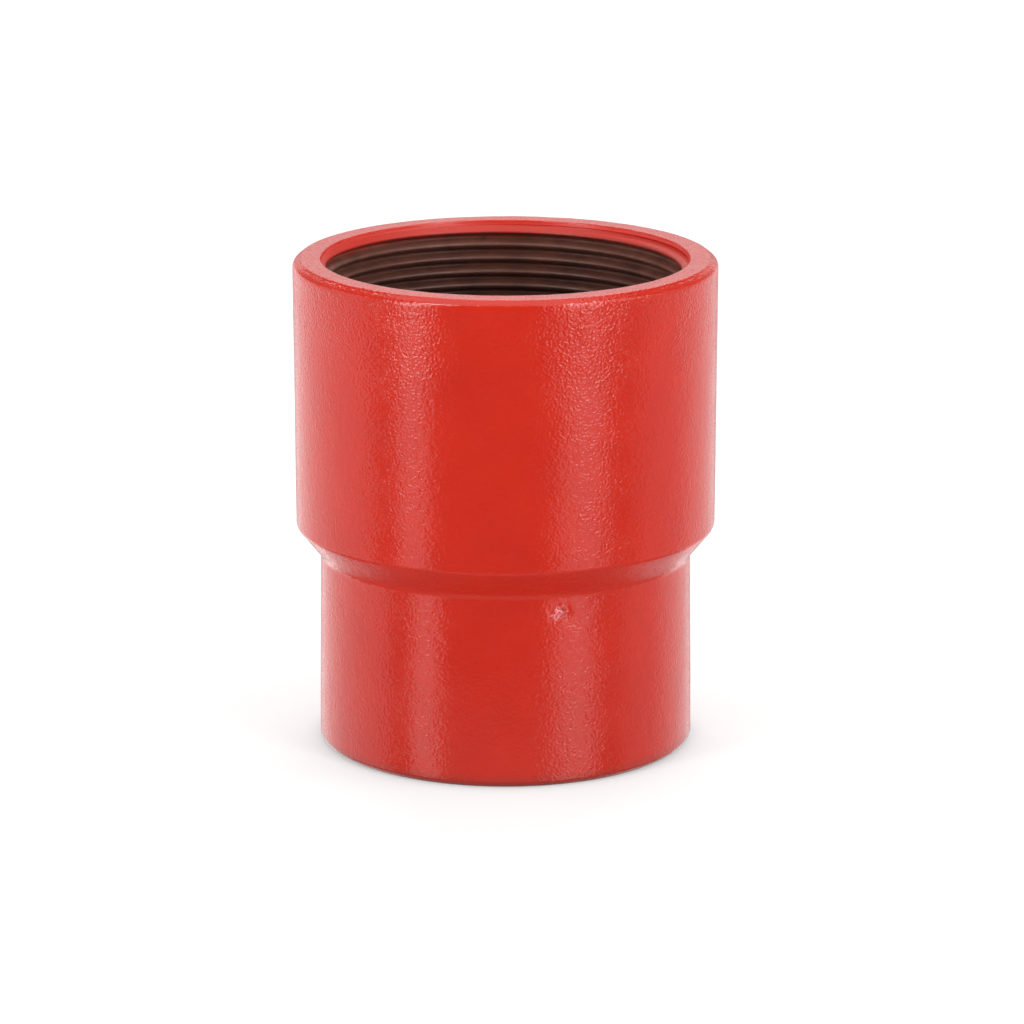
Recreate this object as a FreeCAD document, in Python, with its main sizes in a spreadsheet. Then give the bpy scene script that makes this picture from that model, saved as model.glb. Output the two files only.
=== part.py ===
import FreeCAD, Part
import math
import os

import Sketcher
from FreeCAD import Placement, Rotation, Vector

# A reducing socket: one iron casting that joins a 2 inch pipe above to a 1 1/2 inch pipe below.
# The origin is the centre of the small end's face, and +Z runs up the common axis to the large end.

# Driving dimensions, in millimetres
SIZES = {
    # Outside of the casting
    "overall_length": 79.8,
    "rim_diameter": 68.4,
    "heel_diameter": 68.0,
    "neck_diameter": 60.2,
    "foot_diameter": 60.9,
    "shoulder_top": 35.7,
    "shoulder_bottom": 30.9,
    "shoulder_crest_round": 1.2,
    "shoulder_root_round": 2.0,
    # Bevels turned on the outer edge of each end's face
    "rim_bevel": 1.0,
    "foot_bevel": 0.8,
    # Threads: the diameter over the roots, the bore over the crests, and the depth from the face
    "large_thread_major": 59.614,
    "large_thread_minor": 56.656,
    "large_thread_depth": 27.0,
    "small_thread_major": 47.803,
    "small_thread_minor": 44.845,
    "small_thread_depth": 22.0,
    # Turned entry of each thread: a shallow recess, then a 45 degree lead-in
    "large_mouth_diameter": 59.2,
    "small_mouth_diameter": 47.4,
    "mouth_recess_depth": 0.7,
    # Cored passage: it stands inside the bores by an allowance and clears the thread's end
    "boring_allowance": 1.0,
    "relief_clearance": 0.4,
    # Waist of the passage: how far its bottom and its top lie from the start of the relief there
    "waist_bottom": 2.621,
    "waist_top": 7.921,
    "waist_round": 5.0,
}

# How near a circular edge has to lie to the place that it is looked for at
EDGE_TOLERANCE = 0.1

FOLDER = "parts"


def write_sizes(doc):
    """Puts each driving dimension in a cell of the sheet, under an alias of its own."""
    sheet = doc.addObject("Spreadsheet::Sheet", "Sizes")
    for row, (name, value) in enumerate(SIZES.items(), start=1):
        sheet.set(f"A{row}", name)
        sheet.set(f"B{row}", str(value))
        sheet.setAlias(f"B{row}", name)
    doc.recompute()
    return sheet


def origin_plane(body, role):
    """The body's own origin plane of that role."""
    return next(item for item in body.Origin.OriginFeatures if item.Role == role)


def bind(sketch, constraint, expression):
    """Adds a constraint whose value follows an expression."""
    number = sketch.addConstraint(constraint)
    sketch.setExpression(f"Constraints[{number}]", expression)


def turned_section(body, name, corners, rounds=()):
    """Sketches a closed section in the XZ plane from corners (radius, height), both expressions.

    A radius of None lies on the axis, and a height of None on the base plane. A corner that shares
    its radius or height with the one before it is held by a vertical or horizontal line, and any
    other by a dimension from the origin. rounds gives (corner's number, size's name) for each corner
    that a tangent arc rounds.
    """
    sketch = body.newObject("Sketcher::SketchObject", name)
    sketch.AttachmentSupport = [(origin_plane(body, "XZ_Plane"), "")]
    sketch.MapMode = "FlatFace"
    count = len(corners)

    # The corners start spread on a circle, and their constraints then carry them to their places
    spread = SIZES["overall_length"] / 2
    turns = [2 * math.pi * index / count for index in range(count)]
    rough = [Vector(spread * (2 + math.cos(turn)), spread * (2 + math.sin(turn)), 0) for turn in turns]
    for index in range(count):
        sketch.addGeometry(Part.LineSegment(rough[index], rough[(index + 1) % count]), False)
    for index in range(count):
        sketch.addConstraint(Sketcher.Constraint("Coincident", index, 2, (index + 1) % count, 1))

    for index, (radius, height) in enumerate(corners):
        line_before = (index - 1) % count
        radius_before, height_before = corners[line_before]
        if radius == radius_before:
            sketch.addConstraint(Sketcher.Constraint("Vertical", line_before))
        elif radius is None:
            sketch.addConstraint(Sketcher.Constraint("PointOnObject", index, 1, -2))
        else:
            place = Sketcher.Constraint("DistanceX", -1, 1, index, 1, rough[index].x)
            bind(sketch, place, radius)
        if height == height_before:
            sketch.addConstraint(Sketcher.Constraint("Horizontal", line_before))
        elif height is None:
            sketch.addConstraint(Sketcher.Constraint("PointOnObject", index, 1, -1))
        else:
            place = Sketcher.Constraint("DistanceY", -1, 1, index, 1, rough[index].y)
            bind(sketch, place, height)
    body.Document.recompute()

    for corner, size_name in rounds:
        radius = SIZES[size_name]
        sketch.fillet(corner, 1, radius, True, True)
        kinds = [type(item) for item in sketch.Geometry]
        arc = max(number for number, kind in enumerate(kinds) if kind is Part.ArcOfCircle)
        bind(sketch, Sketcher.Constraint("Radius", arc, radius), f"Sizes.{size_name}")
    body.Document.recompute()
    return sketch


def revolve(body, kind, name, sketch):
    """Turns a section once round the body's axis, as a Revolution or a Groove."""
    feature = body.newObject(f"PartDesign::{kind}", name)
    feature.Profile = sketch
    feature.ReferenceAxis = (sketch, ["V_Axis"])
    feature.Angle = 360
    body.Document.recompute()


def turn_out(body, name, corners, rounds=()):
    """Turns a section out of the body and makes sure that material came off."""
    volume_before = body.Shape.Volume
    section = turned_section(body, f"{name}Section", corners, rounds)
    revolve(body, "Groove", name, section)
    if not body.Shape.Volume < volume_before:
        raise RuntimeError(f"{name} removed nothing")


def cast_outside(body):
    """The casting's outside: two drafted bodies and the shoulder between them, with its rounds."""
    section = turned_section(body, "CastingSection", [
        (None, None),
        ("Sizes.foot_diameter / 2", None),
        ("Sizes.neck_diameter / 2", "Sizes.shoulder_bottom"),
        ("Sizes.heel_diameter / 2", "Sizes.shoulder_top"),
        ("Sizes.rim_diameter / 2", "Sizes.overall_length"),
        (None, "Sizes.overall_length"),
    ], rounds=[(2, "shoulder_root_round"), (3, "shoulder_crest_round")])
    revolve(body, "Revolution", "Casting", section)


def turn_end(body, end, face, height_at):
    """Opens one end of the whole casting: a recess with a lead-in, then a bore to the thread's crests.

    face is the height of the end's face, and height_at gives the height at a depth from it. The
    lead-in's slope runs on to a tip on the axis, and its part below the bore falls inside the bore.
    """
    name = end.capitalize()
    mouth = f"Sizes.{end}_mouth_diameter / 2"
    crest = f"Sizes.{end}_thread_minor / 2"
    recess = height_at("Sizes.mouth_recess_depth")
    lead_in_tip = height_at(f"Sizes.mouth_recess_depth + {mouth}")
    bore_end = height_at(f"Sizes.{end}_thread_depth + Sizes.boring_allowance")
    turn_out(body, f"{name}Mouth", [(None, face), (mouth, face), (mouth, recess), (None, lead_in_tip)])
    turn_out(body, f"{name}Bore", [(None, face), (crest, face), (crest, bore_end), (None, bore_end)])


def turn_ends(body):
    """The two turned ends: the large one opens upwards, and the small one downwards."""
    top = "Sizes.overall_length"
    turn_end(body, "large", top, lambda depth: f"{top} - ({depth})")
    turn_end(body, "small", None, lambda depth: depth)


def core_passage(body):
    """The cored passage through both bores, with a relief past each thread and a waist between them."""
    large_cored = "Sizes.large_thread_minor / 2 - Sizes.boring_allowance"
    small_cored = "Sizes.small_thread_minor / 2 - Sizes.boring_allowance"
    large_relief = "Sizes.large_thread_major / 2 + Sizes.relief_clearance"
    small_relief = "Sizes.small_thread_major / 2 + Sizes.relief_clearance"
    # The core widens at 45 degrees past each thread, so that the thread runs out on the slope
    large_land_end = "Sizes.overall_length - Sizes.large_thread_depth + Sizes.boring_allowance"
    small_land_end = "Sizes.small_thread_depth - Sizes.boring_allowance"
    large_relief_start = f"{large_land_end} - ({large_relief} - ({large_cored}))"
    small_relief_start = f"{small_land_end} + ({small_relief} - ({small_cored}))"
    turn_out(body, "CoredPassage", [
        (None, None),
        (small_cored, None),
        (small_cored, small_land_end),
        (small_relief, small_relief_start),
        (small_relief, f"{small_relief_start} + Sizes.waist_bottom"),
        (large_relief, f"{large_relief_start} - Sizes.waist_top"),
        (large_relief, large_relief_start),
        (large_cored, large_land_end),
        (large_cored, "Sizes.overall_length"),
        (None, "Sizes.overall_length"),
    ], rounds=[(4, "waist_round"), (5, "waist_round")])


def ring_edge(feature, radius, height):
    """Names the circular edge nearest to a radius and height on the feature's shape."""
    gap, name = min(
        (math.hypot(edge.Curve.Radius - radius, edge.Curve.Center.z - height), f"Edge{number}")
        for number, edge in enumerate(feature.Shape.Edges, start=1)
        if isinstance(edge.Curve, Part.Circle)
    )
    if gap > EDGE_TOLERANCE:
        raise RuntimeError(f"no edge at radius {radius} and height {height}")
    return name


def bevel_edge(body, name, radius, height, bevel):
    """Bevels the outer edge of an end's face, which is the circular edge at a radius and height."""
    base = body.Tip
    feature = body.newObject("PartDesign::Chamfer", name)
    feature.Base = (base, [ring_edge(base, radius, height)])
    feature.setExpression("Size", bevel)
    body.Document.recompute()


def bevel_ends(body, size):
    """The bevels of the rim and the foot, each limited to half of the wall at the mouth."""
    rim_wall = "(Sizes.rim_diameter - Sizes.large_mouth_diameter) / 2"
    foot_wall = "(Sizes.foot_diameter - Sizes.small_mouth_diameter) / 2"
    rim_bevel = f"min(Sizes.rim_bevel; {rim_wall} / 2)"
    foot_bevel = f"min(Sizes.foot_bevel; {foot_wall} / 2)"
    bevel_edge(body, "RimBevel", size["rim_diameter"] / 2, size["overall_length"], rim_bevel)
    bevel_edge(body, "FootBevel", size["foot_diameter"] / 2, 0, foot_bevel)


def check_document(doc, body):
    """Stops the build if a feature failed or the body isn't one valid solid."""
    failed = [item.Name for item in doc.Objects if {"Invalid", "Error"} & set(item.State)]
    if failed:
        raise RuntimeError(f"failed objects: {failed}")
    shape = body.Shape
    if shape.isNull() or not shape.isValid() or len(shape.Solids) != 1:
        raise RuntimeError(f"{body.Label} is not one valid solid")


doc = FreeCAD.newDocument("ReducingSocket")
sheet = write_sizes(doc)
size = {name: float(sheet.get(name)) for name in SIZES}

socket = doc.addObject("PartDesign::Body", "Socket")
socket.Label = "reducing_socket"
cast_outside(socket)
turn_ends(socket)
core_passage(socket)
bevel_ends(socket, size)
socket.Placement = Placement(Vector(0, 0, 0), Rotation())
doc.recompute()
check_document(doc, socket)

os.makedirs(FOLDER, exist_ok=True)
socket.Shape.exportStep(f"{FOLDER}/{socket.Label}.step")
box = socket.Shape.BoundBox
print(f"{socket.Label}: {socket.Shape.Volume / 1000:.2f} cm3, height {box.ZLength:.2f} mm")
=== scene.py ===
import math

import bpy
import numpy as np
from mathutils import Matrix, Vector, noise


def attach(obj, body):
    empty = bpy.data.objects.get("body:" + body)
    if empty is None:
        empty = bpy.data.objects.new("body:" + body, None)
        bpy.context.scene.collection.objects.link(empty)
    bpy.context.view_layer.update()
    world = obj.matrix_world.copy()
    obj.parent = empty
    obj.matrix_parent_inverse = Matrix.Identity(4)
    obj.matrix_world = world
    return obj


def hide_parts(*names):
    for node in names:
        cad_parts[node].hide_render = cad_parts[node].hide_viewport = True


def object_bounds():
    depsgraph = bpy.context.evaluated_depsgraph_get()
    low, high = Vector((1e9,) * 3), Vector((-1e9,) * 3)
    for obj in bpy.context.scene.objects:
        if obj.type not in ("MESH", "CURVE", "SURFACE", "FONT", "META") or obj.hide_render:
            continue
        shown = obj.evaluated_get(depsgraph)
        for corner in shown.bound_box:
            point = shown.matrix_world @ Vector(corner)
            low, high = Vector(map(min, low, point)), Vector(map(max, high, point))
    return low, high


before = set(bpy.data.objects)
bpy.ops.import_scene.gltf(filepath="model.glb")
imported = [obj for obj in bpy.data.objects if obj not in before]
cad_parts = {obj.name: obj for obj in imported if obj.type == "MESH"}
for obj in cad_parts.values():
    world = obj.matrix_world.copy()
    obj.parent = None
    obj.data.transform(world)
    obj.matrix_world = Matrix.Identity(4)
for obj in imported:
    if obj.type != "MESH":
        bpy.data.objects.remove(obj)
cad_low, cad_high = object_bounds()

MM = 0.001

# Sizes of the socket's section, in millimetres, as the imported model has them
HEIGHT = cad_high.z / MM
RIM_R, HEEL_R, NECK_R, FOOT_R = 34.2, 34.0, 30.1, 30.45
SHOULDER_TOP, SHOULDER_BOTTOM = 35.7, 30.9
CREST_ROUND, ROOT_ROUND = 1.2, 2.0
RIM_BEVEL, FOOT_BEVEL = 1.0, 0.8
LARGE_MOUTH_R, SMALL_MOUTH_R, RECESS = 29.6, 23.7, 0.7
LARGE_CREST_R, SMALL_CREST_R = 28.328, 22.4225
LARGE_DEPTH, SMALL_DEPTH = 27.0, 22.0
LARGE_RELIEF_R, SMALL_RELIEF_R = 30.207, 24.3015
WAIST_TOP, WAIST_BOTTOM, WAIST_ROUND = 43.0, 26.5, 5.0

# The thread's form, a rounded 55 degree one
PITCH, THREAD_HEIGHT = 2.309, 1.479
THREAD_ROUND, HALF_FLANK = 0.317, math.radians(27.5)
# In the front, the roots of the large thread stand this share of a pitch below whole pitches
LARGE_THREAD_START = 0.18
# Depth from each face at which the roots start to narrow towards the recess
ROOTS_NARROW = 2.4

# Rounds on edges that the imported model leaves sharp
LEAD_IN_SOFT, RECESS_SOFT, SMALL_RECESS_SOFT, MOUTH_SOFT = 0.3, 0.3, 0.21, 0.3
RIM_FACE_SOFT, RIM_WALL_SOFT = 0.6, 1.1
FOOT_FACE_SOFT, FOOT_WALL_SOFT = 0.51, 0.6
# Paint makes the wall of the large recess slightly conical
RECESS_LEAN = 0.12
# What the drafts of the two walls take off over the height of each bevel
RIM_DRAFT = (RIM_R - HEEL_R) / (HEIGHT - SHOULDER_TOP) * RIM_BEVEL
FOOT_DRAFT = (FOOT_R - NECK_R) / SHOULDER_BOTTOM * FOOT_BEVEL
# Depths in each recess at which the outer grid ends and the inner one starts
RIM_SEAM_OUT, RIM_SEAM_IN = 0.28, 0.46
FOOT_SEAM_OUT, FOOT_SEAM_IN = 0.32, 0.4
# How deep the enamel reaches into each mouth
LARGE_PAINT_DEPTH, SMALL_PAINT_DEPTH = 1.75, 1.7
# Material slots of the casting
ENAMEL, IRON = 0, 1

# Columns round the axis in the outer grid. The inner one has half as many
COLUMNS = 352
# Rows a pitch in each thread, and how much coarser they stand in the lead-ins and the run-outs
LARGE_ROWS, SMALL_ROWS = 10, 8
LEAD_IN_STEP, RUN_OUT_STEP = 1.3, 1.4

# Slow waves that sand casting leaves in the walls: length, height, and the offset in the noise
CASTING_WAVES = (
    (17.0, 0.045, (0.0, 0.0, 0.0)),
    (6.5, 0.016, (7.1, 3.3, 1.7)),
    (2.6, 0.008, (1.9, 8.4, 5.2)),
)
# The shoulder was cast askew: it stands twice this much higher in the front than at the back
SHOULDER_SKEW = 0.25
# How far the turned face of the rim dips, on average
FACE_DIP = 0.03
# How far the upper edge of the rim's bevel runs in over the face, and the middle and the spread of
# the stretch where it doesn't, in degrees
BEVEL_WANDER, TRUE_AZIMUTH, TRUE_SPREAD = 0.35, 12.0, 38.0

# Casting flaw in the front, just under the shoulder: its place on the wall, in degrees and mm,
# and the reach of the torn paint on it
FLAW_AZIMUTH, FLAW_Z, FLAW_REACH = 16.6, 28.6, 3.7
# What the flaw consists of, each as (across, up, half width, half height) from its place: a torn
# spot with a pit, and a run of paint, which leans, and a puddle beside it
SPOT, PIT = (0, 0, 1.85, 1.1), (1.3, -0.3, 0.5, 0.8)
RUN, PUDDLE = (3.4, -1.6, 0.7, 2.6), (2.4, -1.7, 1.3, 0.9)
SPOT_DEPTH, SPOT_GRAIN, SPOT_RAGGED = 0.12, 0.16, 0.35
PIT_DEPTH, PUDDLE_DEPTH = 0.12, 0.06
RUN_HEIGHT, RUN_LEAN, RUN_FOOT = 0.06, 0.9, -3.5
# It is worked out only this many degrees to each side, and between these heights
FLAW_SIDE, FLAW_LOW, FLAW_HIGH = 16, 18, 31


# The section
def arc_corner(before, corner, after, radius, steps):
    """Points of the arc that rounds a corner, from the side of before to the side of after."""
    before, corner, after = (np.array(p, float) for p in (before, corner, after))
    back = (before - corner) / np.linalg.norm(before - corner)
    ahead = (after - corner) / np.linalg.norm(after - corner)
    angle = math.acos(float(back @ ahead))
    reach = radius / math.tan(angle / 2)
    centre = corner + (back + ahead) / np.linalg.norm(back + ahead) * radius / math.sin(angle / 2)
    start = corner + back * reach - centre
    end = corner + ahead * reach - centre
    sweep = math.atan2(start[0] * end[1] - start[1] * end[0], float(start @ end))
    points = []
    for index in range(steps + 1):
        turn = sweep * index / steps
        c, s = math.cos(turn), math.sin(turn)
        points.append(centre + (c * start[0] - s * start[1], s * start[0] + c * start[1]))
    return points


def section(corners):
    """Points along corners (radius, height, round, steps of the arc, length of a step after it)."""
    points = []
    for index, (r, z, radius, steps, _) in enumerate(corners):
        if radius:
            new = arc_corner(corners[index - 1][:2], (r, z), corners[index + 1][:2], radius, steps)
        else:
            new = [np.array((r, z), float)]
        if points:
            run = new[0] - points[-1]
            count = max(1, round(float(np.linalg.norm(run)) / corners[index - 1][4]))
            points += [points[-1] + run * k / count for k in range(1, count)]
        points += new
    return np.array(points)


OUTSIDE = section([
    (LARGE_MOUTH_R, HEIGHT - RIM_SEAM_OUT, 0, 0, 1.0),
    (LARGE_MOUTH_R + RECESS_LEAN, HEIGHT, MOUTH_SOFT, 3, 0.8),
    (RIM_R - RIM_BEVEL, HEIGHT, RIM_FACE_SOFT, 4, 0.4),
    (RIM_R - RIM_DRAFT, HEIGHT - RIM_BEVEL, RIM_WALL_SOFT, 4, 0.66),
    (HEEL_R, SHOULDER_TOP, CREST_ROUND, 6, 0.8),
    (NECK_R, SHOULDER_BOTTOM, ROOT_ROUND, 6, 0.6),
    (FOOT_R - FOOT_DRAFT, FOOT_BEVEL, FOOT_WALL_SOFT, 4, 0.4),
    (FOOT_R - FOOT_BEVEL, 0, FOOT_FACE_SOFT, 4, 1.6),
    (SMALL_MOUTH_R, 0, MOUTH_SOFT, 3, 1.0),
    (SMALL_MOUTH_R, FOOT_SEAM_OUT, 0, 0, 1.0),
])

LARGE_STEP, SMALL_STEP = PITCH / LARGE_ROWS, PITCH / SMALL_ROWS
# Heights at which each lead-in meets its bore, and each run-out its relief
LARGE_BORE_START = HEIGHT - RECESS - (LARGE_MOUTH_R - LARGE_CREST_R)
SMALL_BORE_START = RECESS + SMALL_MOUTH_R - SMALL_CREST_R
LARGE_FLARE = HEIGHT - LARGE_DEPTH - (LARGE_RELIEF_R - LARGE_CREST_R)
SMALL_FLARE = SMALL_DEPTH + SMALL_RELIEF_R - SMALL_CREST_R
INSIDE = section([
    (SMALL_MOUTH_R, FOOT_SEAM_IN, 0, 0, 1.0),
    (SMALL_MOUTH_R, RECESS, SMALL_RECESS_SOFT, 2, SMALL_STEP * LEAD_IN_STEP),
    (SMALL_CREST_R, SMALL_BORE_START, LEAD_IN_SOFT, 2, SMALL_STEP),
    (SMALL_CREST_R, SMALL_DEPTH, 0, 0, SMALL_STEP * RUN_OUT_STEP),
    (SMALL_RELIEF_R, SMALL_FLARE, 0, 0, 1.5),
    (SMALL_RELIEF_R, WAIST_BOTTOM, WAIST_ROUND, 3, 3.0),
    (LARGE_RELIEF_R, WAIST_TOP, WAIST_ROUND, 3, 2.5),
    (LARGE_RELIEF_R, LARGE_FLARE, 0, 0, LARGE_STEP * RUN_OUT_STEP),
    (LARGE_CREST_R, HEIGHT - LARGE_DEPTH, 0, 0, LARGE_STEP),
    (LARGE_CREST_R, LARGE_BORE_START, LEAD_IN_SOFT, 2, LARGE_STEP * LEAD_IN_STEP),
    (LARGE_MOUTH_R - RECESS_LEAN, HEIGHT - RECESS, RECESS_SOFT, 2, 1.0),
    (LARGE_MOUTH_R, HEIGHT - RIM_SEAM_IN, 0, 0, 1.0),
])


def thread_radius(crest, phase):
    """Radius of the rounded 55 degree thread form at a phase in turns, with its root at a whole turn."""
    x = np.abs((phase + 0.5) % 1.0 - 0.5) * PITCH
    quarter = PITCH / 4
    side = np.where(x < quarter, x, PITCH / 2 - x)
    flank = (quarter - side) / math.tan(HALF_FLANK)
    top = THREAD_HEIGHT / 2 - THREAD_ROUND + np.sqrt(np.maximum(THREAD_ROUND**2 - side**2, 0))
    depth = np.where(side < THREAD_ROUND * math.cos(HALF_FLANK), top, flank)
    depth = np.where(x < quarter, depth, -depth)
    return crest + THREAD_HEIGHT / 2 + depth


# The socket's mesh. Angles are from the front, and grow to +X
def column_angles():
    """Angles of the columns, closer together round the flaw."""
    crowding, spread = 1.6, 5.0
    even = np.linspace(-math.pi, math.pi, 4097)
    offset = np.degrees(even) - FLAW_AZIMUTH
    density = 1 + crowding * np.exp(-((offset / spread) ** 2))
    total = np.concatenate([[0], np.cumsum((density[1:] + density[:-1]) / 2)])
    return np.interp(np.arange(COLUMNS) / COLUMNS, total / total[-1], even)


def casting_wave(point):
    """Height of the casting's waves at a point of the wall."""
    return sum(
        height * noise.noise(point / length + Vector(offset)) for length, height, offset in CASTING_WAVES
    )


def hill(across, up, feature, power=2):
    """Height of a smooth hill that is 1 high in the middle. With a power of 4 its top is flat."""
    middle_across, middle_up, width, height = feature
    sideways, upwards = (across - middle_across) / width, (up - middle_up) / height
    return math.exp(-(sideways**power + upwards**power))


def flaw(angle, point):
    """Height of the casting flaw at a point of the wall."""
    across = NECK_R * (angle - math.radians(FLAW_AZIMUTH))
    up = point.z - FLAW_Z
    edge = SPOT_RAGGED * noise.noise(point / 0.9)
    grain = noise.noise(point / 0.55 + Vector((4.4, 0.6, 9.1)))
    spot = (SPOT_GRAIN * grain - SPOT_DEPTH) * hill(across + edge, up + edge, SPOT, power=4)
    pit = -PIT_DEPTH * hill(across, up, PIT)
    run = RUN_HEIGHT * (0.6 + grain) * hill(across - RUN_LEAN * (up - RUN_FOOT), up, RUN)
    puddle = -PUDDLE_DEPTH * hill(across, up, PUDDLE)
    return spot + pit + run + puddle


def bevel_wander(r, z, angle):
    """How far a point near the upper edge of the rim's bevel moves in, which it does but in the front."""
    near_radius = np.interp(r, [RIM_R - 2.6, RIM_R - 1.6, RIM_R - 0.6, RIM_R - 0.05], [0, 1, 1, 0])
    near_height = np.interp(z, [HEIGHT - 0.9, HEIGHT - 0.2], [0, 1])
    side = math.degrees(angle)
    fade = np.interp(abs(side), [75, 105], [1, 0.35])
    front = math.exp(-(((side - TRUE_AZIMUTH) / TRUE_SPREAD) ** 2))
    return BEVEL_WANDER * near_radius * near_height * fade * (1 - front)


def outside_grid(angles):
    """Points of the outer wall, faces and bevels, with the waves, the flaw and the askew shoulder."""
    grid = np.zeros((len(OUTSIDE), len(angles), 3))
    for row, (r, z) in enumerate(OUTSIDE):
        # Turned faces and bevels stay true, and the walls between them wave
        cast = np.interp(z, [0.6, 1.8, HEIGHT - 2.0, HEIGHT - 0.7], [0.15, 1, 1, 0.15])
        if r < SMALL_MOUTH_R + 1.0 or (z > HEIGHT - 1.0 and r < LARGE_MOUTH_R + 1.0):
            cast = 0.0
        shoulder = [SHOULDER_BOTTOM - 5.9, SHOULDER_BOTTOM - 0.5, SHOULDER_TOP + 0.5, SHOULDER_TOP + 8.3]
        near_shoulder = np.interp(z, shoulder, [0, 1, 1, 0])
        for column, angle in enumerate(angles):
            x, y = r * math.sin(angle), -r * math.cos(angle)
            point = Vector((x, y, z))
            shift = cast * casting_wave(point) - bevel_wander(r, z, angle)
            if abs(math.degrees(angle) - FLAW_AZIMUTH) < FLAW_SIDE and FLAW_LOW < z < FLAW_HIGH:
                shift += flaw(angle, point)
            rise = near_shoulder * SHOULDER_SKEW * (1 + math.cos(angle))
            if z > HEIGHT - 0.3:
                rise -= FACE_DIP * (1 + noise.noise(Vector((x, y, 4.0)) / 3.0))
            grid[row, column] = ((r + shift) * math.sin(angle), -(r + shift) * math.cos(angle), z + rise)
    return grid


def threaded(radius, crest, phase, depth, mouth):
    """Radii of a thread's row at a depth from the face. The roots narrow to the radius of the mouth."""
    limit = np.interp(depth, [RECESS, ROOTS_NARROW], [mouth, crest + THREAD_HEIGHT])
    return np.maximum(radius, np.minimum(thread_radius(crest, phase), limit))


def inside_grid(angles):
    """Points of the threads, reliefs and waist. Both threads are right-handed."""
    grid = np.zeros((len(INSIDE), len(angles), 3))
    turns = angles / (2 * math.pi)
    for row, (r, z) in enumerate(INSIDE):
        radius = np.full(len(angles), r)
        phase = z / PITCH - turns
        if z > LARGE_FLARE:
            phase = phase + LARGE_THREAD_START
            radius = threaded(radius, LARGE_CREST_R, phase, HEIGHT - z, LARGE_MOUTH_R - RECESS_LEAN)
        elif z < SMALL_FLARE:
            radius = threaded(radius, SMALL_CREST_R, phase, z, SMALL_MOUTH_R)
        heights = np.full(len(angles), z)
        grid[row] = np.stack([radius * np.sin(angles), -radius * np.cos(angles), heights], 1)
    return grid


def ring_quads(first, rows, columns):
    """Quads between the rows of a closed grid whose first point is first, a list for each pair of rows."""
    for row in range(rows - 1):
        start = first + row * columns
        quads = []
        for column in range(columns):
            a, b = start + column, start + (column + 1) % columns
            quads.append((a, a + columns, b + columns, b))
        yield quads


def seam_faces(outer_start, inner_start, upward):
    """Triangles between a row of the outer grid and one of the inner grid, two columns to one."""
    half = COLUMNS // 2
    faces = []
    for column in range(half):
        a = outer_start + 2 * column
        b, c = a + 1, outer_start + (2 * column + 2) % COLUMNS
        p, q = inner_start + column, inner_start + (column + 1) % half
        for face in ((a, p, b), (b, p, q), (b, q, c)):
            faces.append(face if upward else face[::-1])
    return faces


def socket_mesh():
    """One closed mesh: the outer grid, the inner one, and a seam in each recess."""
    angles = column_angles()
    outer, inner = outside_grid(angles), inside_grid(angles[::2])
    vertices = np.concatenate([outer.reshape(-1, 3), inner.reshape(-1, 3)]) * MM
    half = COLUMNS // 2
    first_in = len(outer) * COLUMNS
    last_row_out, last_row_in = first_in - COLUMNS, first_in + (len(inner) - 1) * half

    faces = [quad for quads in ring_quads(0, len(outer), COLUMNS) for quad in quads]
    materials = [ENAMEL] * len(faces)
    for row, quads in enumerate(ring_quads(first_in, len(inner), half)):
        z_low, z_high = inner[row, 0, 2], inner[row + 1, 0, 2]
        painted = z_high < SMALL_PAINT_DEPTH or z_low > HEIGHT - LARGE_PAINT_DEPTH
        faces += quads
        materials += [ENAMEL if painted else IRON] * half
    seams = seam_faces(last_row_out, first_in, True) + seam_faces(0, last_row_in, False)
    faces += seams
    materials += [ENAMEL] * len(seams)

    mesh = bpy.data.meshes.new("socket_casting")
    mesh.from_pydata([tuple(v) for v in vertices], [], faces)
    mesh.polygons.foreach_set("material_index", materials)
    mesh.polygons.foreach_set("use_smooth", [True] * len(faces))
    mesh.update()
    mesh.validate()
    return mesh


# Materials
def feed(tree, value, socket):
    """Links a value that comes from a node, and sets one that is a number or a colour."""
    if isinstance(value, bpy.types.NodeSocket):
        tree.links.new(value, socket)
    else:
        socket.default_value = value


def node(tree, kind, inputs=(), **properties):
    """Adds a node, sets its properties, and then feeds its inputs, given by name or number."""
    item = tree.nodes.new(kind)
    for name, value in properties.items():
        setattr(item, name, value)
    for key, value in dict(inputs).items():
        feed(tree, value, item.inputs[key])
    return item


def new_material(name):
    """A material with its tree, its Principled shader and its object coordinates."""
    material = bpy.data.materials.new(name)
    material.use_nodes = True
    tree = material.node_tree
    tree.nodes.clear()
    shader = node(tree, "ShaderNodeBsdfPrincipled")
    node(tree, "ShaderNodeOutputMaterial", {0: shader.outputs[0]})
    coordinates = node(tree, "ShaderNodeTexCoord")
    return material, tree, shader, coordinates.outputs["Object"]


def ramp(tree, source, stops):
    """A colour ramp over a value, from stops (position, colour or grey) in rising order."""
    item = node(tree, "ShaderNodeValToRGB", {0: source})
    elements = item.color_ramp.elements
    while len(elements) < len(stops):
        elements.new(0.5)
    for element, (position, colour) in zip(elements, stops):
        element.position = position
        element.color = (*colour, 1) if isinstance(colour, tuple) else (colour, colour, colour, 1)
    return item.outputs[0]


def math_node(tree, operation, a, b=0.0):
    """A Math node over two values, each from a node or a number."""
    return node(tree, "ShaderNodeMath", {0: a, 1: b}, operation=operation).outputs[0]


def mix(tree, factor, a, b, blend="MIX"):
    """Colour a with colour b mixed in by a factor."""
    inputs = {"Factor": factor, 6: a, 7: b}
    return node(tree, "ShaderNodeMix", inputs, data_type="RGBA", blend_type=blend).outputs[2]


def noise_texture(tree, vector, size_mm, detail=2.0, rough=0.5):
    """Noise whose cells are about size_mm across."""
    inputs = {"Vector": vector, "Scale": 1 / (size_mm * MM), "Detail": detail, "Roughness": rough}
    return node(tree, "ShaderNodeTexNoise", inputs).outputs["Fac"]


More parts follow.
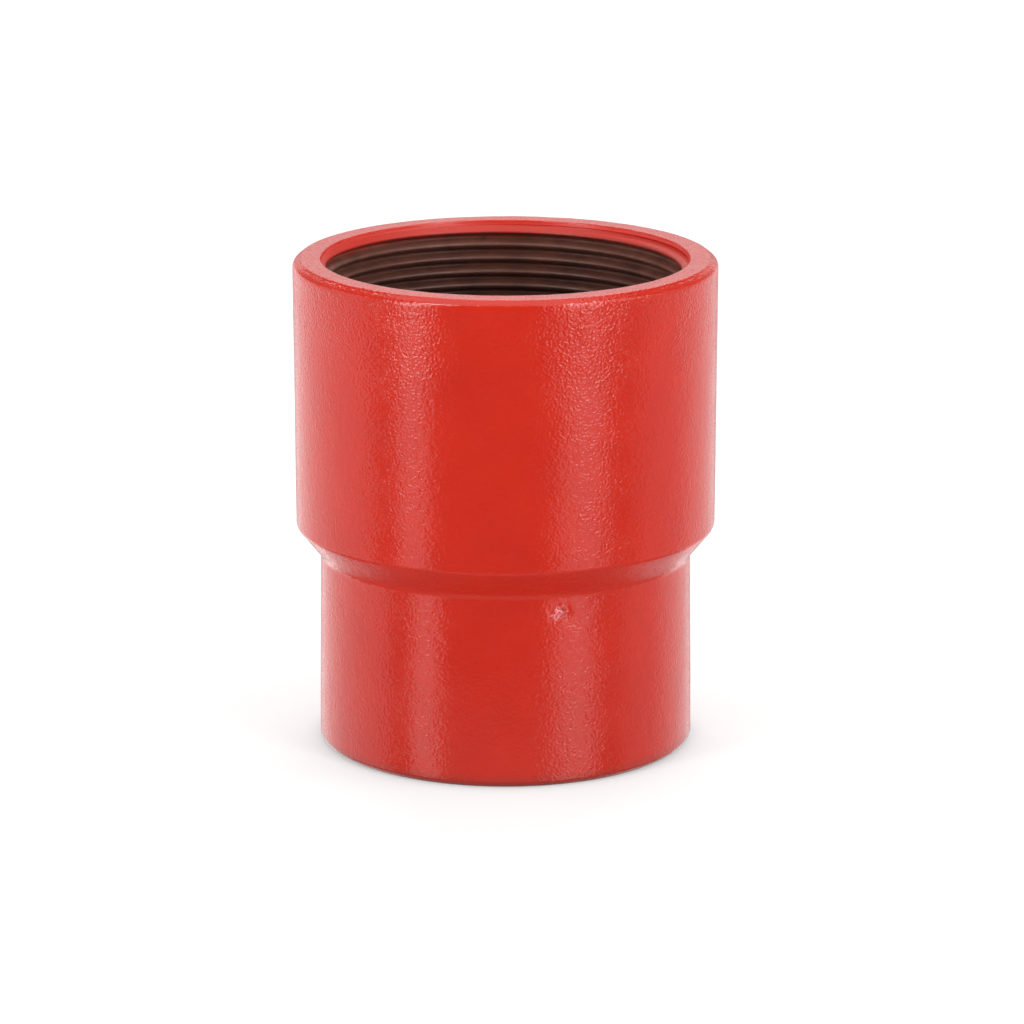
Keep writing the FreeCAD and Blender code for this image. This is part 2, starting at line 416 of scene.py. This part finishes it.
def bump(tree, height, distance, strength=1.0):
    """A bump from heights, which are shares of a distance in millimetres."""
    inputs = {"Height": height, "Distance": distance * MM, "Strength": strength}
    return node(tree, "ShaderNodeBump", inputs).outputs[0]


def from_axis(tree, place, whole):
    """Distance from the socket's axis, as a share of a whole in millimetres."""
    flat = node(tree, "ShaderNodeVectorMath", {0: place, 1: (1, 1, 0)}, operation="MULTIPLY")
    length = node(tree, "ShaderNodeVectorMath", {0: flat.outputs[0]}, operation="LENGTH")
    return math_node(tree, "DIVIDE", length.outputs["Value"], whole * MM)


def torn_spot(tree, place):
    """Where the casting is torn under the paint: 1 in the flaw, and 0 past its ragged edge."""
    angle = math.radians(FLAW_AZIMUTH)
    centre = Vector((NECK_R * math.sin(angle), -NECK_R * math.cos(angle), FLAW_Z)) * MM
    away = node(tree, "ShaderNodeVectorMath", {0: place, 1: centre}, operation="DISTANCE")
    share = math_node(tree, "DIVIDE", away.outputs["Value"], FLAW_REACH * MM)
    ragged = math_node(tree, "MULTIPLY", noise_texture(tree, place, 0.9), 1.2)
    return ramp(tree, math_node(tree, "ADD", share, ragged), [(0.62, 1.0), (1.0, 0.0)])


def enamel_colour(tree, place, z, level, reach, torn, grit):
    """The paint's red, with painted shade that darkens it towards the foot and on the foot's rounded edge,
    painted light on the wall of the large recess, and the flaw's colours with painted glints.

    level is the height as a share of the socket's, and reach the distance from the axis as a share
    of 32 mm.
    """
    tint = noise_texture(tree, place, 9.0, detail=5.0, rough=0.62)
    colour = ramp(tree, tint, [(0.3, (0.468, 0.0102, 0.0004)), (0.7, (0.511, 0.0126, 0.0005))])
    # Painted shade: the red darkens towards the foot, where the wall's light falls off near the floor
    fade = ramp(tree, level, [(0.0, 0.9), (0.3, 0.965), (0.55, 0.99), (0.95, 1.015)])
    colour = mix(tree, 1.0, colour, fade, blend="MULTIPLY")
    # Painted shade: the rounded edge of the foot, where it meets the floor, is darkened to a dull brown-red
    drift = math_node(tree, "MULTIPLY", noise_texture(tree, place, 1.2), 0.6 * MM)
    above_foot = math_node(tree, "DIVIDE", math_node(tree, "ADD", z, drift), 10 * MM)
    painted_foot_shade = ramp(tree, above_foot, [(0.035, 0.8), (0.12, 0.35), (0.26, 0.0)])
    colour = mix(tree, painted_foot_shade, colour, (0.13, 0.03, 0.022, 1))
    # Painted light: a brighter red on the wall of the large recess lifts the shade there
    wall = ramp(tree, reach, [(0.9155, 0.0), (0.922, 1.0), (0.928, 1.0), (0.932, 0.0)])
    in_recess = ramp(tree, level, [(0.9885, 0.0), (0.991, 1.0), (0.9965, 1.0), (0.9985, 0.0)])
    painted_light_in_recess = math_node(tree, "MULTIPLY", wall, in_recess)
    colour = mix(tree, painted_light_in_recess, colour, (0.7, 0.024, 0.01, 1))
    # The torn spot has dark pits, and pale pink flecks that are painted glints
    specks_with_painted_glints = ramp(tree, grit, [
        (0.36, (0.2, 0.02, 0.015)), (0.44, (0.55, 0.03, 0.02)), (0.55, (0.95, 0.3, 0.33)),
    ])
    return mix(tree, torn, colour, specks_with_painted_glints)


def enamel_relief(tree, place, x, level, reach, torn, grit):
    """Heights of the paint: small worm-like cells on a slow swell, and the grit of the torn spot."""
    squashed = node(tree, "ShaderNodeMapping", {"Vector": place, "Scale": (1.0, 1.0, 1.12)}).outputs[0]
    cells = noise_texture(tree, squashed, 0.43, detail=0.5)
    swell = noise_texture(tree, squashed, 1.2, detail=1.0)
    patches = ramp(tree, noise_texture(tree, place, 5.0), [(0.36, 0.6), (0.62, 1.0)])
    # The cells stand highest near the rim and on its face, and lower on its bevel and down the wall
    by_height = ramp(tree, level, [
        (0.55, 0.4), (0.78, 0.4), (0.93, 0.74), (0.98, 0.76), (0.985, 0.45), (0.997, 0.45), (0.999, 0.9),
    ])
    # They also stand highest to both sides, and lowest left of the middle
    across = math_node(tree, "ADD", math_node(tree, "DIVIDE", x, 2 * RIM_R * MM), 0.5)
    by_side = ramp(tree, across, [(0.0, 1.0), (0.2, 0.9), (0.28, 0.54), (0.45, 0.54), (0.62, 0.88)])
    # In the mouths they are almost smooth
    by_radius = ramp(tree, reach, [(0.919, 0.15), (0.93, 1.0)])
    height = cells
    for share in (patches, by_height, by_side, by_radius):
        height = math_node(tree, "MULTIPLY", height, share)
    height = math_node(tree, "ADD", height, math_node(tree, "MULTIPLY", swell, 0.17))
    rough_spot = math_node(tree, "MULTIPLY", math_node(tree, "MULTIPLY", grit, torn), 1.3)
    return math_node(tree, "ADD", height, rough_spot)


def red_enamel():
    """Glossy red enamel on rough iron."""
    material, tree, shader, place = new_material("red_enamel")
    split = node(tree, "ShaderNodeSeparateXYZ", {0: place})
    level = math_node(tree, "DIVIDE", split.outputs["Z"], HEIGHT * MM)
    reach = from_axis(tree, place, 32)
    torn = torn_spot(tree, place)
    grit = noise_texture(tree, place, 0.45, detail=1.0, rough=0.6)
    colour = enamel_colour(tree, place, split.outputs["Z"], level, reach, torn, grit)
    relief = enamel_relief(tree, place, split.outputs["X"], level, reach, torn, grit)
    # The lead-ins took only a dry mist of paint
    dry = ramp(tree, reach, [(0.919, 0.3), (0.93, 0.0)])
    gloss = ramp(tree, noise_texture(tree, place, 3.0), [(0.3, 0.16), (0.7, 0.21)])
    feed(tree, colour, shader.inputs["Base Color"])
    feed(tree, bump(tree, relief, 0.24), shader.inputs["Normal"])
    feed(tree, math_node(tree, "ADD", gloss, dry), shader.inputs["Roughness"])
    shader.inputs["Specular IOR Level"].default_value = 0.43
    return material


def bare_iron():
    """Cut iron gone dark brown under old cutting fluid, with painted shade deep in the passage."""
    material, tree, shader, place = new_material("bare_iron")
    stain = noise_texture(tree, place, 4.0, detail=4.0)
    colour = ramp(tree, stain, [(0.3, (0.1, 0.034, 0.022)), (0.7, (0.175, 0.06, 0.038))])
    split = node(tree, "ShaderNodeSeparateXYZ", {0: place})
    middle = math_node(tree, "SUBTRACT", split.outputs["Z"], HEIGHT / 2 * MM)
    from_middle = math_node(tree, "ABSOLUTE", middle)
    drift = math_node(tree, "MULTIPLY", noise_texture(tree, place, 2.2, detail=3.0), 1.6 * MM)
    reach = math_node(tree, "DIVIDE", math_node(tree, "ADD", from_middle, drift), HEIGHT / 2 * MM)
    # Painted shade: the iron darkens towards the middle of the passage, deep in the bore
    painted_depth_shade = ramp(tree, reach, [(0.5, 0.2), (0.92, 1.0)])
    colour = mix(tree, 1.0, colour, painted_depth_shade, blend="MULTIPLY")
    # Paint mist from the mouths fades out over the first turn of each thread
    mist = ramp(tree, reach, [(0.945, 0.0), (0.985, 1.0)])
    feed(tree, mix(tree, mist, colour, (0.5, 0.014, 0.004, 1)), shader.inputs["Base Color"])
    tool_marks = noise_texture(tree, place, 0.3, detail=3.0)
    feed(tree, bump(tree, tool_marks, 0.02, strength=0.6), shader.inputs["Normal"])
    roughness = ramp(tree, noise_texture(tree, place, 1.5), [(0.3, 0.38), (0.7, 0.55)])
    feed(tree, roughness, shader.inputs["Roughness"])
    shader.inputs["Specular IOR Level"].default_value = 0.37
    return material


def white_paper():
    """Matt studio paper, of a slightly cool white, which glows evenly but less close round the socket's
    foot, a painted contact shadow.
    """
    material, tree, shader, place = new_material("white_paper")
    fibre = noise_texture(tree, place, 40.0)
    colour = ramp(tree, fibre, [(0.3, (0.475, 0.505, 0.503)), (0.7, (0.495, 0.525, 0.523))])
    feed(tree, colour, shader.inputs["Base Color"])
    # Painted shadow: the floor's emission is dimmed close round the foot
    glow_and_painted_shadow = ramp(tree, from_axis(tree, place, 50), [(0.61, 0.36), (0.63, 0.41), (0.66, 0.445), (0.72, 0.46)])
    feed(tree, glow_and_painted_shadow, shader.inputs["Emission Strength"])
    shader.inputs["Emission Color"].default_value = (1, 1, 1, 1)
    shader.inputs["Roughness"].default_value = 1.0
    shader.inputs["Specular IOR Level"].default_value = 0.0
    return material


# Pieces
def build_socket():
    socket = bpy.data.objects.new("socket_casting", socket_mesh())
    bpy.context.scene.collection.objects.link(socket)
    socket.data.materials.append(red_enamel())
    socket.data.materials.append(bare_iron())
    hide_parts("reducing_socket")
    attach(socket, "root")


def build_floor():
    # A hair below the foot, so that no two faces share a plane
    half, level = 3.0, -0.01 * MM
    corners = [(x * half, y * half, level) for x, y in ((-1, -1), (1, -1), (1, 1), (-1, 1))]
    mesh = bpy.data.meshes.new("studio_floor")
    mesh.from_pydata(corners, [], [(0, 1, 2, 3)])
    mesh.materials.append(white_paper())
    floor = bpy.data.objects.new("studio_floor", mesh)
    bpy.context.scene.collection.objects.link(floor)
    floor.visible_glossy = False


# Light. The floor lets gloss through, so what stands below it shows in the paint alone
def area_light(name, azimuth, elevation, distance, width, height, radiance):
    """A rectangular softbox that faces the socket, at degrees from the front and above the floor."""
    light = bpy.data.lights.new(name, "AREA")
    light.shape = "RECTANGLE"
    light.size, light.size_y = width, height
    light.energy = radiance * width * height * math.pi
    target = Vector((0, 0, 0.04))
    a, e = math.radians(azimuth), math.radians(elevation)
    offset = Vector((math.sin(a) * math.cos(e), -math.cos(a) * math.cos(e), math.sin(e))) * distance
    item = bpy.data.objects.new(name, light)
    item.location = target + offset
    item.rotation_euler = (-offset).to_track_quat("-Z", "Y").to_euler()
    bpy.context.scene.collection.objects.link(item)
    return item


def build_panels():
    """Panels round the socket, given by the azimuths of their sides, elevation, height and radiance."""
    distance = 1.3
    for name, start, end, elevation, height, radiance in (
        ("left_back", -165, -115, -12, 0.9, 1.08),
        ("left", -115, -75, 0, 1.6, 1.03),
        ("left_front", -60, -41, 0, 1.6, 1.6),
        ("right_front", 29, 56, 0, 1.6, 1.45),
        ("right", 74, 115, 0, 1.6, 0.54),
        ("right_back", 115, 165, -12, 0.9, 0.86),
    ):
        width = 2 * distance * math.tan(math.radians(end - start) / 2)
        area_light(name, (start + end) / 2, elevation, distance, width, height, radiance)


def build_lights():
    build_panels()
    # Two tall softboxes, one at each side of the camera, draw the bright bands down the wall
    area_light("softbox_left", -50, 19, 1.25, 0.22, 1.25, 6.6)
    area_light("softbox_right", 44, 19, 1.25, 0.24, 1.25, 5.6)
    area_light("right_high", 80, 38, 1.25, 0.3, 0.6, 3.4)
    area_light("overhead", 0, 88, 1.3, 1.4, 1.4, 1.5)
    area_light("back_low", 180, 16, 1.5, 1.2, 0.7, 0.64)
    area_light("back_high", 180, 45, 1.5, 1.3, 0.7, 3.0)
    # The pale table to both sides and in front, as the paint mirrors it
    area_light("table_left", -161, -38, 1.3, 0.66, 0.75, 0.53)
    area_light("table_right", 159, -38, 1.3, 0.74, 0.75, 0.45)
    table = area_light("table", 0, -90, 0.044, 0.16, 0.045, 0.35)
    table.location = (0, -0.0625, -0.004)
    # Side light that the gloss doesn't see
    for name, azimuth, radiance in (("fill_left", -88, 0.95), ("fill_right", 88, 0.8)):
        area_light(name, azimuth, 5, 1.3, 1.0, 1.0, radiance).visible_glossy = False
    # Two small lamps above the softboxes, for glints on the rim's bevel. They light nothing matt
    for name, azimuth in (("lamp_left", -49), ("lamp_right", 53)):
        area_light(name, azimuth, 50, 1.25, 0.26, 0.3, 13.0).visible_diffuse = False
    world = bpy.data.worlds.new("studio")
    world.use_nodes = True
    background = world.node_tree.nodes["Background"]
    background.inputs["Color"].default_value = (1, 1, 1, 1)
    background.inputs["Strength"].default_value = 0.33
    bpy.context.scene.world = world


def build_camera():
    """A long lens at the photo's viewing angle, a little above the socket."""
    data = bpy.data.cameras.new("camera")
    data.sensor_width = 36.0
    data.lens = 164.0
    camera = bpy.data.objects.new("camera", data)
    target = Vector((0.00105, 0, 0.03728))
    elevation, distance = 0.26, 0.7597
    camera.location = target + Vector((0, -math.cos(elevation), math.sin(elevation))) * distance
    camera.rotation_euler = (math.pi / 2 - elevation, 0, 0)
    bpy.context.scene.collection.objects.link(camera)
    bpy.context.scene.camera = camera


build_socket()
build_floor()
build_lights()
build_camera()
bpy.context.scene.view_settings.view_transform = "Standard"
